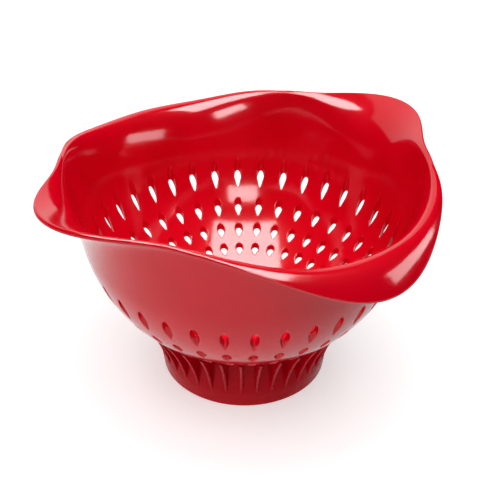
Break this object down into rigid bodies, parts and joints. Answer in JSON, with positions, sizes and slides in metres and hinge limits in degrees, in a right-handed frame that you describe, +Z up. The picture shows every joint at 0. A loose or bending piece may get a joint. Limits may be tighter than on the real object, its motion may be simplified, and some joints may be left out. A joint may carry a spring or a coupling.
{
  "type": "colander",
  "caption": "Round moulded plastic colander: a bowl with rings of drop-shaped drain holes, a flowing rim with pouring lips and rolled handles, on a finned foot ring.",
  "frame": {"origin": "on the table under the middle of the bowl", "axes": "+Z up along the bowl's axis, +X along the line through the two pouring lips; the two rolled handles lie close to +Y and -Y"},
  "size_m": [0.2796, 0.2756, 0.1607],
  "materials": {
    "bowl_plastic": "gloss",
    "foot_plastic": "satin gloss"
  },
  "bodies": {
    "root": {"strainer_bowl": "bowl_plastic", "foot_ring": "foot_plastic"}
  },
  "joints": []
}
